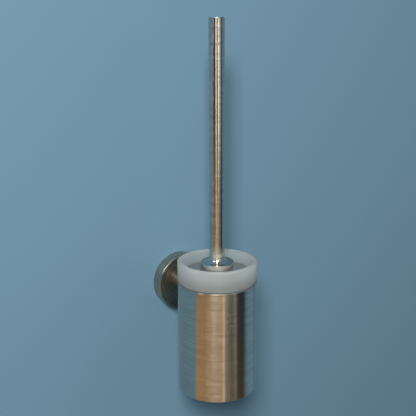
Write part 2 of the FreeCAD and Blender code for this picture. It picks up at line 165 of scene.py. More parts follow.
def dress(names: tuple[str, ...], material: bpy.types.Material) -> None:
    """Gives CAD nodes a material in every slot.

    Args:
        names: the nodes.
        material: their finish.
    """
    for name in names:
        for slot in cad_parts[name].material_slots:
            slot.material = material
        log.info("dressed %s in %s", name, material.name)


def mesh_object(name: str, points: np.ndarray, faces: np.ndarray, smooth: bool = True) -> bpy.types.Object:
    """Makes a mesh object at the origin from arrays.

    Args:
        name: the piece's name.
        points: (n, 3) places in metres.
        faces: (m, corners) point numbers, anticlockwise seen from outside.
        smooth: whether its faces shade smoothly.

    Returns:
        The object, linked to the scene.
    """
    mesh = bpy.data.meshes.new(name)
    mesh.from_pydata(points.tolist(), [], faces.tolist())
    mesh.polygons.foreach_set("use_smooth", np.full(len(mesh.polygons), smooth))
    mesh.update()
    piece = bpy.data.objects.new(name, mesh)
    bpy.context.scene.collection.objects.link(piece)
    return piece


def grid_faces(rows: int, columns: int, wrap: bool) -> np.ndarray:
    """Quads over a grid of rows by columns of points, numbered row by row.

    Args:
        rows: points along the first parameter.
        columns: points along the second parameter.
        wrap: whether the last column joins the first.

    Returns:
        (quads, 4) point numbers.
    """
    row = np.arange(rows - 1)[:, None]
    column = np.arange(columns if wrap else columns - 1)[None, :]
    following = (column + 1) % columns
    quads = [row * columns + column, row * columns + following,
             (row + 1) * columns + following, (row + 1) * columns + column]
    return np.stack(np.broadcast_arrays(*quads), axis=-1).reshape(-1, 4)


def node_box(name: str) -> tuple[np.ndarray, np.ndarray]:
    """A CAD node's lowest and highest corners as arrays."""
    low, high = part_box(name)
    return np.array(low), np.array(high)


# ---------------------------------------------------------------- finishes


@dataclass(frozen=True)
class TurnedSteel:
    """Stainless or nickel-plated steel, brushed or turned in rings round an axis.

    The rings are too fine to show one by one: they stretch each reflection across the rings, so a
    round piece shows upright bands with sharp sides. A few coarser rings show as faint lines.

    Brighter rings are smoother. Where the surface turns from a face to a side, at a rounded edge,
    handling and the last polish leave it smoother still, by edge_polish of its roughness.
    """

    name: str
    colour: str
    dull_colour: str
    roughness: float
    anisotropy: float
    axis: Axis
    centre: tuple[float, float, float]
    ring_pitch: float = 1.5 * MM  # brushing grit leaves 0.1 mm rings, drawn wider so that they show
    ring_length: float = 26 * MM
    ring_height: float = 0.018 * MM
    ring_roughness: float = 0.03
    ring_noise_detail: float = 3.0
    ring_noise_roughness: float = 0.6
    dullest_ring: float = 0.32  # ring noise at and below this has the dull colour
    brightest_ring: float = 0.68
    edge_polish: float = 0.0

    def build(self) -> bpy.types.Material:
        """Makes the material.

        Returns:
            The material.
        """
        material, tree = new_material(self.name)
        place = add_node(tree, "ShaderNodeTexCoord")
        offset = add_node(tree, "ShaderNodeVectorMath", {"operation": "SUBTRACT", 1: self.centre},
                          {0: place.outputs["Object"]}).outputs["Vector"]
        across_mask = tuple(1.0 - part for part in self.axis.value)
        across = add_node(tree, "ShaderNodeVectorMath", {"operation": "MULTIPLY", 1: across_mask},
                          {0: offset}).outputs["Vector"]
        normal = add_node(tree, "ShaderNodeNewGeometry").outputs["Normal"]
        rings = self.rings(tree, offset, across)
        bump = add_node(tree, "ShaderNodeBump", {"Strength": 1.0, "Distance": self.ring_height},
                        {"Height": rings})
        steel = add_node(tree, "ShaderNodeBsdfPrincipled",
                         {"Metallic": 1.0, "Anisotropic": self.anisotropy},
                         {"Base Color": self.ring_colour(tree, rings),
                          "Roughness": self.ring_gloss(tree, rings, normal),
                          "Tangent": self.tangent(tree, across, normal),
                          "Normal": bump.outputs["Normal"]})
        add_surface(tree, steel.outputs["BSDF"])
        return material

    def rings(self, tree: bpy.types.NodeTree, offset: bpy.types.NodeSocket,
              across: bpy.types.NodeSocket) -> bpy.types.NodeSocket:
        """Adds the ring pattern.

        Place along the profile is the distance from the axis plus the distance along it, which grows
        along a tube's side and across a flat face alike. Rings are noise of that place over the ring
        pitch, drawn out round the axis to the ring length.

        Args:
            tree: the material's node tree.
            offset: place from the centre.
            across: the part of it square to the axis.

        Returns:
            The pattern, from 0 to 1.
        """
        axis = self.axis.value
        along = add_node(tree, "ShaderNodeVectorMath", {"operation": "DOT_PRODUCT", 1: axis}, {0: offset})
        radius = add_node(tree, "ShaderNodeVectorMath", {"operation": "LENGTH"}, {0: across})
        profile = add_node(tree, "ShaderNodeMath", {"operation": "ADD"},
                           {0: along.outputs["Value"], 1: radius.outputs["Value"]})
        round_part = add_node(tree, "ShaderNodeVectorMath",
                              {"operation": "SCALE", "Scale": 1 / self.ring_length}, {0: across})
        pitch_part = add_node(tree, "ShaderNodeMath", {"operation": "MULTIPLY", 1: 1 / self.ring_pitch},
                              {0: profile.outputs["Value"]})
        axis_part = add_node(tree, "ShaderNodeVectorMath", {"operation": "SCALE", 0: axis},
                             {"Scale": pitch_part.outputs["Value"]})
        ring_place = add_node(tree, "ShaderNodeVectorMath", {"operation": "ADD"},
                              {0: round_part.outputs["Vector"], 1: axis_part.outputs["Vector"]})
        noise = add_node(tree, "ShaderNodeTexNoise",
                         {"Scale": 1.0, "Detail": self.ring_noise_detail,
                          "Roughness": self.ring_noise_roughness},
                         {"Vector": ring_place.outputs["Vector"]})
        return noise.outputs["Fac"]

    def tangent(self, tree: bpy.types.NodeTree, across: bpy.types.NodeSocket,
                normal: bpy.types.NodeSocket) -> bpy.types.NodeSocket:
        """Adds the direction that reflections keep sharp: the ring direction crossed with the normal.

        Args:
            tree: the material's node tree.
            across: place from the axis.
            normal: the surface's normal.

        Returns:
            The direction along the profile, of length 1.
        """
        ring_way = add_node(tree, "ShaderNodeVectorMath", {"operation": "CROSS_PRODUCT", 0: self.axis.value},
                            {1: across})
        profile_way = add_node(tree, "ShaderNodeVectorMath", {"operation": "CROSS_PRODUCT"},
                               {0: ring_way.outputs["Vector"], 1: normal})
        tangent = add_node(tree, "ShaderNodeVectorMath", {"operation": "NORMALIZE"},
                           {0: profile_way.outputs["Vector"]})
        return tangent.outputs["Vector"]

    def ring_gloss(self, tree: bpy.types.NodeTree, rings: bpy.types.NodeSocket,
                   normal: bpy.types.NodeSocket) -> bpy.types.NodeSocket:
        """Adds the roughness: lower on bright rings, and lower again on rounded edges.

        How much a point is on an edge is the square of the cosine between the normal and the axis,
        times one less that square: nothing on a face or a side, and most half-way between them.

        Args:
            tree: the material's node tree.
            rings: the ring pattern.
            normal: the surface's normal.

        Returns:
            The roughness.
        """
        ring_part = add_node(tree, "ShaderNodeMapRange",
                             {"From Min": NOISE_LOW, "From Max": NOISE_HIGH,
                              "To Min": self.roughness + self.ring_roughness / 2,
                              "To Max": self.roughness - self.ring_roughness / 2},
                             {"Value": rings})
        facing = add_node(tree, "ShaderNodeVectorMath", {"operation": "DOT_PRODUCT", 1: self.axis.value},
                          {0: normal})
        flat_share = add_node(tree, "ShaderNodeMath", {"operation": "MULTIPLY"},
                              {0: facing.outputs["Value"], 1: facing.outputs["Value"]})
        side_share = add_node(tree, "ShaderNodeMath", {"operation": "SUBTRACT", 0: 1.0},
                              {1: flat_share.outputs["Value"]})
        edge_share = add_node(tree, "ShaderNodeMath", {"operation": "MULTIPLY"},
                              {0: flat_share.outputs["Value"], 1: side_share.outputs["Value"]})
        polish = add_node(tree, "ShaderNodeMapRange",
                          {"From Max": MOST_EDGE_SHARE, "To Min": 1.0, "To Max": 1.0 - self.edge_polish},
                          {"Value": edge_share.outputs["Value"]})
        roughness = add_node(tree, "ShaderNodeMath", {"operation": "MULTIPLY"},
                             {0: ring_part.outputs["Result"], 1: polish.outputs["Result"]})
        return roughness.outputs["Value"]

    def ring_colour(self, tree: bpy.types.NodeTree, rings: bpy.types.NodeSocket) -> bpy.types.NodeSocket:
        """Adds the colour, which goes from dull to bright with the rings.

        Args:
            tree: the material's node tree.
            rings: the ring pattern.

        Returns:
            The colour.
        """
        share = add_node(tree, "ShaderNodeMapRange",
                         {"From Min": self.dullest_ring, "From Max": self.brightest_ring},
                         {"Value": rings})
        colour = add_node(tree, "ShaderNodeMix",
                          {"data_type": "RGBA", MIX_FIRST: linear(self.dull_colour),
                           MIX_SECOND: linear(self.colour)},
                          {0: share.outputs["Result"]})
        return colour.outputs[MIX_RESULT]


@dataclass(frozen=True)
class FrostedGlass:
    """Clear glass etched in acid: light goes through, but the fine pits blur what is behind."""

    name: str
    colour: str
    roughness: float
    transmission: float
    scatter: float
    refraction: float = 1.5
    pit_size: float = 0.5 * MM  # real pits are far finer; these show as a faint grain
    pit_depth: float = 0.006 * MM

    def build(self) -> bpy.types.Material:
        """Makes the material: rough glass mixed with light scattered on through, with fine pits.

        Returns:
            The material.
        """
        material, tree = new_material(self.name)
        place = add_node(tree, "ShaderNodeTexCoord")
        pits = add_node(tree, "ShaderNodeTexNoise", {"Scale": 1 / self.pit_size, "Detail": 2.0},
                        {"Vector": place.outputs["Object"]})
        bump = add_node(tree, "ShaderNodeBump", {"Strength": 1.0, "Distance": self.pit_depth},
                        {"Height": pits.outputs["Fac"]})
        glass = add_node(tree, "ShaderNodeBsdfPrincipled",
                         {"Base Color": linear(self.colour), "Roughness": self.roughness,
                          "IOR": self.refraction, "Transmission Weight": self.transmission},
                         {"Normal": bump.outputs["Normal"]})
        scatter = add_node(tree, "ShaderNodeBsdfTranslucent", {"Color": linear(self.colour)},
                           {"Normal": bump.outputs["Normal"]})
        mixed = add_node(tree, "ShaderNodeMixShader", {0: self.scatter},
                         {1: glass.outputs["BSDF"], 2: scatter.outputs["BSDF"]})
        add_surface(tree, mixed.outputs["Shader"])
        return material


@dataclass(frozen=True)
class GrainedSolid:
    """A plastic, rubber or cast metal with an even colour, a fine grain and slight mottling."""

    name: str
    colour: str
    second_colour: str
    roughness: float
    grain_size: float
    grain_depth: float
    metallic: float = 0.0
    translucency: float = 0.0
    light_depth: float = 2 * MM  # how far light goes in where it is translucent
    mottle_size: float = 8 * MM
    mottle_roughness: float = 0.1  # roughness from the dullest to the glossiest patch

    def build(self) -> bpy.types.Material:
        """Makes the material: mottled colour from broad noise, grain from fine noise.

        Returns:
            The material.
        """
        material, tree = new_material(self.name)
        place = add_node(tree, "ShaderNodeTexCoord")
        mottle = add_node(tree, "ShaderNodeTexNoise", {"Scale": 1 / self.mottle_size, "Detail": 3.0},
                          {"Vector": place.outputs["Object"]})
        grain = add_node(tree, "ShaderNodeTexNoise", {"Scale": 1 / self.grain_size, "Detail": 2.0},
                         {"Vector": place.outputs["Object"]})
        bump = add_node(tree, "ShaderNodeBump", {"Strength": 1.0, "Distance": self.grain_depth},
                        {"Height": grain.outputs["Fac"]})
        colour = add_node(tree, "ShaderNodeMix",
                          {"data_type": "RGBA", MIX_FIRST: linear(self.colour),
                           MIX_SECOND: linear(self.second_colour)},
                          {0: mottle.outputs["Fac"]})
        roughness = add_node(tree, "ShaderNodeMapRange",
                             {"To Min": self.roughness - self.mottle_roughness / 2,
                              "To Max": self.roughness + self.mottle_roughness / 2},
                             {"Value": mottle.outputs["Fac"]})
        solid = add_node(tree, "ShaderNodeBsdfPrincipled",
                         {"Metallic": self.metallic, "Subsurface Weight": self.translucency,
                          "Subsurface Scale": self.light_depth},
                         {"Base Color": colour.outputs[MIX_RESULT],
                          "Roughness": roughness.outputs["Result"],
                          "Normal": bump.outputs["Normal"]})
        add_surface(tree, solid.outputs["BSDF"])
        return material


# ---------------------------------------------------------------- holder


@dataclass
class Holder:
    """What stays on the wall: wall plate, rosette, arm and sleeve."""

    cup_centre: tuple[float, float, float]
    wall_centre: tuple[float, float, float] = (0.0, 0.0, 0.0)

    def dress(self) -> None:
        """Gives every piece of the holder its finish."""
        # Stainless tube brushed on a belt as it turns: upright bands, faint level lines, a bright edge.
        dress(("sleeve",), TurnedSteel(
            "brushed_stainless_sleeve", "#DED7CC", "#C5BEB3", 0.22, 0.92, Axis.CUP, self.cup_centre,
            edge_polish=0.6).build())
        # Rolled sheet, as it comes from the mill: a dull, even grey.
        dress(("sleeve_base",), TurnedSteel(
            "rolled_stainless_base", "#B9B6B0", "#A5A29C", 0.34, 0.5, Axis.CUP, self.cup_centre).build())
        # Turned steel plated with satin nickel: a warm grey with rings round its face, and an edge
        # that catches the light.
        dress(("rosette",), TurnedSteel(
            "turned_nickel_rosette", "#C2B9AA", "#ACA497", 0.27, 0.85, Axis.WALL, self.wall_centre,
            ring_length=18 * MM, edge_polish=0.75).build())
        # The same plating on a turned spacer: rings too short to read as lines.
        dress(("arm",), TurnedSteel(
            "brushed_nickel_arm", "#C4BCAF", "#AEA699", 0.28, 0.8, Axis.WALL, self.wall_centre,
            ring_length=9 * MM).build())
        # Die-cast zinc, left as cast: matt grey with a coarse skin.
        zinc = GrainedSolid("die_cast_zinc", "#8D9093", "#7C7F82", 0.5, 0.35 * MM, 0.02 * MM, metallic=0.9)
        dress(("wall_plate",), zinc.build())
        # Steel with bright zinc plating: a cold, slightly uneven shine.
        plated = GrainedSolid("zinc_plated_steel", "#B8B9B6", "#A3A5A4", 0.32, 0.25 * MM, 0.006 * MM,
                              metallic=1.0)
        dress(("arm_stud", "arm_washer", "arm_nut", "arm_dowel", "rosette_set_screw"), plated.build())
        # Moulded plastic, its grey darkened as painted shade: a dark line that stands for the shaded gap
        # between the glass and the steel.
        seat = GrainedSolid("seat_plastic_and_painted_gap_shade", "#6A7073", "#61676A", 0.55, 0.3 * MM, 0.01 * MM)
        dress(("seat_ring",), seat.build())


@dataclass
class Insert:
    """The loose frosted glass insert."""

    def dress(self) -> None:
        """Gives the insert its finish: acid-etched glass, milky, which glows where light is behind it."""
        glass = FrostedGlass("acid_etched_glass", "#E9EDEC", 0.40, 0.70, 0.46)
        dress(("glass_insert",), glass.build())


# ---------------------------------------------------------------- brush


@dataclass
class Handle:
    """The handle, its collar and the lid."""

    cup_centre: tuple[float, float, float]
    thread_pitch: float = 1.25 * MM  # M8 coarse thread
    thread_depth: float = 0.65 * MM
    rows_per_pitch: int = 8
    thread_columns: int = 32

    def dress(self) -> None:
        """Gives the handle's pieces their finishes."""
        # Stainless tube brushed as it turns: narrow upright bands crossed by short level lines.
        dress(("handle_tube", "handle_end"), TurnedSteel(
            "brushed_stainless_tube", "#DED7CC", "#BDB6AB", 0.18, 0.92, Axis.CUP, self.cup_centre,
            ring_length=14 * MM).build())
        # Bar stock with a fine finishing cut: nearly a mirror, with glints in its cove.
        dress(("collar",), TurnedSteel(
            "bright_turned_collar", "#D2CEC7", "#C2BEB7", 0.11, 0.6, Axis.CUP, self.cup_centre,
            ring_length=9 * MM, ring_roughness=0.06).build())
        # Satin sheet: a soft, flat grey with wide blurred reflections.
        dress(("lid",), TurnedSteel(
            "satin_stainless_lid", "#B9BBB9", "#A7A9A7", 0.32, 0.5, Axis.CUP, self.cup_centre,
            ring_length=16 * MM).build())
        # Steel with bright zinc plating: a cold, slightly uneven shine.
        plated = GrainedSolid("zinc_plated_fixings", "#B8B9B6", "#A3A5A4", 0.32, 0.25 * MM, 0.006 * MM,
                              metallic=1.0).build()
        dress(("handle_bush", "lid_washer", "lid_nut"), plated)
        # Moulded rubber: black, dull and faintly grained.
        rubber = GrainedSolid("moulded_rubber", "#1C1C1D", "#232324", 0.7, 0.3 * MM, 0.012 * MM)
        dress(("lid_gasket",), rubber.build())
        self.thread_stud(plated)

    def thread_stud(self, finish: bpy.types.Material) -> None:
        """Makes the stud's rolled thread.

        The surface is a radius over angle and height: the crest radius less the thread's depth times a
        triangle wave of height over pitch minus angle over a full turn. The first and last rows are
        drawn in to the axis, which closes the ends.

        Args:
            finish: the stud's material.
        """
        low, high = node_box("brush_stud")
        crest = (high[0] - low[0]) / 2
        turns = (high[2] - low[2]) / self.thread_pitch
        rows, columns = int(turns * self.rows_per_pitch), self.thread_columns
        height = np.linspace(low[2], high[2], rows)[:, None]
        angle = np.linspace(0, FULL_TURN, columns, endpoint=False)[None, :]
        phase = (height - low[2]) / self.thread_pitch - angle / FULL_TURN
        wave = np.abs((phase % 1.0) * 2 - 1)
        radius = crest - self.thread_depth * wave
        side = np.stack([self.cup_centre[0] + radius * np.cos(angle),
                         self.cup_centre[1] + radius * np.sin(angle),
                         height + 0 * angle], axis=-1)
        bottom, top = (np.tile([*self.cup_centre[:2], level], (1, columns, 1)) for level in (low[2], high[2]))
        points = np.concatenate([bottom, side, top])
        stud = mesh_object("brush_stud_thread", points.reshape(-1, 3),
                           grid_faces(len(points), columns, wrap=True), smooth=False)
        merge_doubles(stud)
        stud.data.materials.append(finish)
        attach(stud, Body.BRUSH.value)
        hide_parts("brush_stud")
        log.info("made %s", stud.name)


def merge_doubles(piece: bpy.types.Object) -> None:
    """Merges the points of a piece that lie on each other, and turns its faces outwards.

    Args:
        piece: the piece.
    """
    work = bmesh.new()
    work.from_mesh(piece.data)
    bmesh.ops.remove_doubles(work, verts=work.verts, dist=MERGE_DISTANCE)
    bmesh.ops.recalc_face_normals(work, faces=work.faces)
    work.to_mesh(piece.data)
    work.free()


@dataclass
class BrushHead:
    """The replaceable head: a moulded core set with tufts of nylon.

    The tufts' roots follow a line down the core's side and round its nose, and their tips a line down
    the bristles' outside and round under them. A row of tufts stands at the same share of both lines.
    """

    cup_centre: tuple[float, float, float]
    side_rows: int = 11
    side_share: float = 0.34  # share of the lines that the rows on the core's side take
    nose_rows: tuple[float, ...] = (0.46, 0.62, 0.78, 0.93)  # shares of the lines, round the nose
    tufts_per_turn: int = 20
    least_tufts: int = 3
    filaments: int = 15
    filament_radius: float = 0.28 * MM  # drawn thicker than real bristles, so that they show
    filament_taper: float = 0.35  # share of its radius that a filament loses towards its tip
    filament_steps: int = 5
    filament_corners: int = 3
    uneven_length: float = 0.06  # share of its length that a filament may fall short
    tuft_root_radius: float = 1.1 * MM
    tuft_tip_radius: float = 3.4 * MM
    droop: float = 1.2 * MM
    top_gap: float = 4 * MM  # bare core above the top row
    nose_height: float = 8 * MM
    nose_bevel: float = 3 * MM
    nose_point: float = 0.5 * MM
    shoulder_inset: float = 5 * MM
    shoulder_drop: float = 2 * MM
    side_foot: float = 20 * MM  # height of the side's lower end above the lowest bristle
    toe_inset: float = 9 * MM
    toe_height: float = 6 * MM
    foot_radius: float = 3 * MM
    foot_gap: float = 1 * MM
    seed: int = 7

    def dress(self) -> None:
        """Gives the core its finish and sets the tufts."""
        # Moulded polypropylene: milky white, a little light coming through.
        core = GrainedSolid("moulded_polypropylene", "#ECECE8", "#E2E3DF", 0.42, 0.4 * MM, 0.01 * MM,
                            translucency=0.15)
        dress(("brush_core",), core.build())
        # Drawn nylon: white threads with a soft shine along them, lighter where light comes through.
        nylon = GrainedSolid("nylon_filament", "#F1F1EC", "#E2E4E0", 0.38, 0.8 * MM, 0.004 * MM,
                             translucency=0.2)
        self.set_tufts(nylon.build())

    def lines(self) -> tuple[np.ndarray, np.ndarray]:
        """The root line on the core and the tip line of the bristles, from the top row down.

        Returns:
            Two (n, 2) arrays of (radius, height) corners.
        """
        low, high = node_box("bristles")
        core_low, core_high = node_box("brush_core")
        tip_radius = (high[0] - low[0]) / 2 - self.tuft_tip_radius / 2
        root_radius = (core_high[0] - core_low[0]) / 2
        root = np.array([
            (root_radius, high[2] - self.top_gap),
            (root_radius, core_low[2] + self.nose_height),
            (root_radius - self.nose_bevel, core_low[2] + self.nose_bevel),
            (self.nose_point, core_low[2] + self.nose_point),
        ])
        tip = np.array([
            (tip_radius - self.shoulder_inset, high[2] - self.shoulder_drop),
            (tip_radius, low[2] + self.side_foot),
            (tip_radius - self.toe_inset, low[2] + self.toe_height),
            (self.foot_radius, low[2] + self.foot_gap),
        ])
        return root, tip

    def row_ends(self) -> tuple[np.ndarray, np.ndarray]:
        """Where each row's tufts start and end, at equal shares of the two lines.

        Returns:
            Two (rows, 2) arrays of (radius, height), for the roots and the tips.
        """
        share = np.concatenate([np.linspace(0, self.side_share, self.side_rows), self.nose_rows])
        ends = []
        for line in self.lines():
            corner_share = np.linspace(0, 1, len(line))
            ends.append(np.stack([np.interp(share, corner_share, line[:, k]) for k in range(2)], axis=-1))
        return ends[0], ends[1]

    def tuft_turns(self, root_radius: np.ndarray) -> tuple[np.ndarray, np.ndarray]:
        """Spaces the tufts evenly round each row, fewer where the row is smaller.

        Every second row is turned by half a space, so that the tufts stand between their neighbours.

        Args:
            root_radius: each row's radius on the core.

        Returns:
            Each tuft's row and its angle round the core.
        """
        full_share = np.minimum(1, root_radius / root_radius[0])
        counts = np.maximum(self.least_tufts, np.round(self.tufts_per_turn * full_share)).astype(int)
        row = np.repeat(np.arange(len(root_radius)), counts)
        number = np.concatenate([np.arange(count) for count in counts])
        return row, (number + 0.5 * (row % 2)) / counts[row] * FULL_TURN

    def tubes(self, start: np.ndarray, end: np.ndarray, sideways: np.ndarray, sag: np.ndarray) -> np.ndarray:
        """Works out every filament's tube.

        A filament's middle line runs from its start to its end, and sags by the square of the share of
        its length. Its tube is a triangle round that line, a little thinner at the tip.

        Args:
            start: (n, 3) roots.
            end: (n, 3) tips.
            sideways: (n, 3) directions level with the ground and square to the filament.
            sag: (n,) sags of the tips.

        Returns:
            (n, steps, corners, 3) points.
        """
        steps = np.linspace(0, 1, self.filament_steps)
        line = start[:, None] + (end - start)[:, None] * steps[None, :, None]
        line[..., 2] -= steps**2 * sag[:, None]
        way = (end - start) / np.linalg.norm(end - start, axis=1, keepdims=True)
        first = np.cross(way, sideways)
        first /= np.linalg.norm(first, axis=1, keepdims=True)
        second = np.cross(way, first)
        corner = np.arange(self.filament_corners) / self.filament_corners * FULL_TURN
        rim = np.cos(corner)[:, None] * first[:, None] + np.sin(corner)[:, None] * second[:, None]
        width = self.filament_radius * (1 - self.filament_taper * steps)
        return line[:, :, None] + rim[:, None] * width[None, :, None, None]

    def set_tufts(self, finish: bpy.types.Material) -> None:
        """Makes every filament as one mesh.

        A tuft's filaments start and end at places spread evenly over a disc round its own middle line.

        Args:
            finish: the filaments' material.
        """
        chance = np.random.default_rng(self.seed)
        root, tip = self.row_ends()
        row, turn = (np.repeat(part, self.filaments) for part in self.tuft_turns(root[:, 0]))
        total = len(row)
        spin = chance.uniform(0, FULL_TURN, total)
        spread = np.sqrt(chance.uniform(0, 1, total))
        outward = np.stack([np.cos(turn), np.sin(turn), np.zeros(total)], axis=-1)
        sideways = np.stack([-np.sin(turn), np.cos(turn), np.zeros(total)], axis=-1)
        upward = np.array([0.0, 0.0, 1.0])
        disc = (np.cos(spin)[:, None] * sideways + np.sin(spin)[:, None] * upward) * spread[:, None]
        start = root[row, :1] * outward + root[row, 1:] * upward + disc * self.tuft_root_radius
        end = tip[row, :1] * outward + tip[row, 1:] * upward + disc * self.tuft_tip_radius
        end += (end - start) * chance.uniform(-self.uneven_length, 0.0, total)[:, None]
        points = self.tubes(start, end, sideways, self.droop * (1 - row / row.max()))
        points[..., 1] += self.cup_centre[1]
        side = grid_faces(self.filament_steps, self.filament_corners, wrap=True)
        root_cap = np.arange(self.filament_corners)
        tip_cap = root_cap + (self.filament_steps - 1) * self.filament_corners
        faces = np.concatenate([side[:, (0, 1, 2)], side[:, (0, 2, 3)], [root_cap[::-1], tip_cap]])
        faces = faces[None] + (np.arange(total) * self.filament_steps * self.filament_corners)[:, None, None]
        tufts = mesh_object("nylon_tufts", points.reshape(-1, 3), faces.reshape(-1, 3))
        tufts.data.materials.append(finish)
        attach(tufts, Body.BRUSH.value)
        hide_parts("bristles")
        log.info("made %s with %d filaments", tufts.name, total)


# ---------------------------------------------------------------- studio


@dataclass(frozen=True)
class CardRow:
    """One row of the coloured cards that stand round the object and that only reflections see.

    Each card has a start angle, a colour and a brightness, and ends where the next one starts. Angles
    are degrees round the sleeve's axis from the camera's side, positive to the camera's right; heights
    are metres.
    """

    name: str
    bottom: float
    top: float
    cards: tuple[tuple[float, str, float], ...]


# A plain room gives steel little to mirror, so the cards stand for a bathroom: blue walls all round,
# warm wood and floor low down in front, a bright window with dark frames at the level of the handle,
# and two lamps high up. An upright piece mirrors the low rows in its lower part and the level row in
# its upper part; the high row shows in the collar's cove and on rounded edges.
WALL = ("#64859B", 1.08)
DIM = ("#76868F", 1.2)
CARD_ROWS = (
    CardRow("floor_cards", -1.60, -0.90, (
        (-180, *WALL), (-77, "#8299A6", 1.15), (-69, "#A6855C", 1.1), (-33, "#B59973", 1.0),
        (-20, "#BCA17F", 0.92), (4, "#B4946B", 1.1), (16, "#C9B79C", 1.1), (22, "#8C7C66", 1.15),
        (40, "#7A684F", 0.9), (64, "#5E4A34", 1.0), (86, "#66747B", 0.9), (96, *WALL))),
    CardRow("low_cards", -0.90, -0.42, (
        (-180, *WALL), (-77, "#8299A6", 1.15), (-69, "#A6855C", 1.1), (-33, "#C4A985", 1.0),
        (-20, "#CFB799", 0.83), (4, "#BB9B72", 1.1), (16, "#DACDB9", 1.15), (22, "#4C524A", 0.8),
        (48, "#7A8380", 1.0), (58, "#14171A", 1.0), (86, "#5B6E7A", 0.9), (96, *WALL))),
    CardRow("middle_cards", -0.42, -0.12, (
        (-180, *WALL), (-62, "#8C8A84", 1.1), (-52, "#80603B", 1.1), (-24, "#A98F6E", 0.85),
        (-7, "#C9B79E", 0.8), (9, "#AB8C66", 0.65), (20, "#B2A58F", 0.6), (28, "#5E5E5B", 0.6),
        (57, "#35424A", 1.0), (86, *WALL))),
    CardRow("level_cards", -0.12, 0.62, (
        (-180, "#6E90A6", 1.2), (-68, "#7A8183", 1.0), (-62, "#060606", 1.0), (-18, "#8F928E", 1.0),
        (-13, "#FFFFFF", 1.7), (-5, "#030303", 1.0), (19, "#FFFDF6", 1.8), (30, "#E3E0CE", 1.0),
        (50, "#94A09E", 1.0), (61, "#3A4C58", 1.2), (80, *WALL))),
    CardRow("high_cards", 0.62, 1.60, (
        (-180, *WALL), (-62, *DIM), (-54, "#FFFFFF", 6.0), (-42, *DIM), (-18, "#FFFFFF", 5.0),
        (20, *DIM), (48, "#B9CBD9", 2.0), (58, *WALL))),
)
CEILING = ("#76868F", 1.0)
OVERHEAD_STRIP = ("#FFFFFF", 4.0)


@dataclass(frozen=True)
class SoftBox:
    """A square soft light that points at the sleeve: its centre, side, power in watts and colour."""

    name: str
    place: tuple[float, float, float]
    size: float
    power: float
    colour: str


# A key above the camera, a broad warm fill, and a weak light from behind that opens up the back views.
SOFT_BOXES = (
    SoftBox("key", (-1.05, -1.45, 1.15), 0.5, 37.0, "#FFF9F1"),
    SoftBox("fill", (1.1, -1.2, 0.5), 1.0, 2.0, "#FFF4E6"),
    SoftBox("back", (0.5, 1.3, 0.8), 1.0, 4.0, "#F4F6FA"),
)


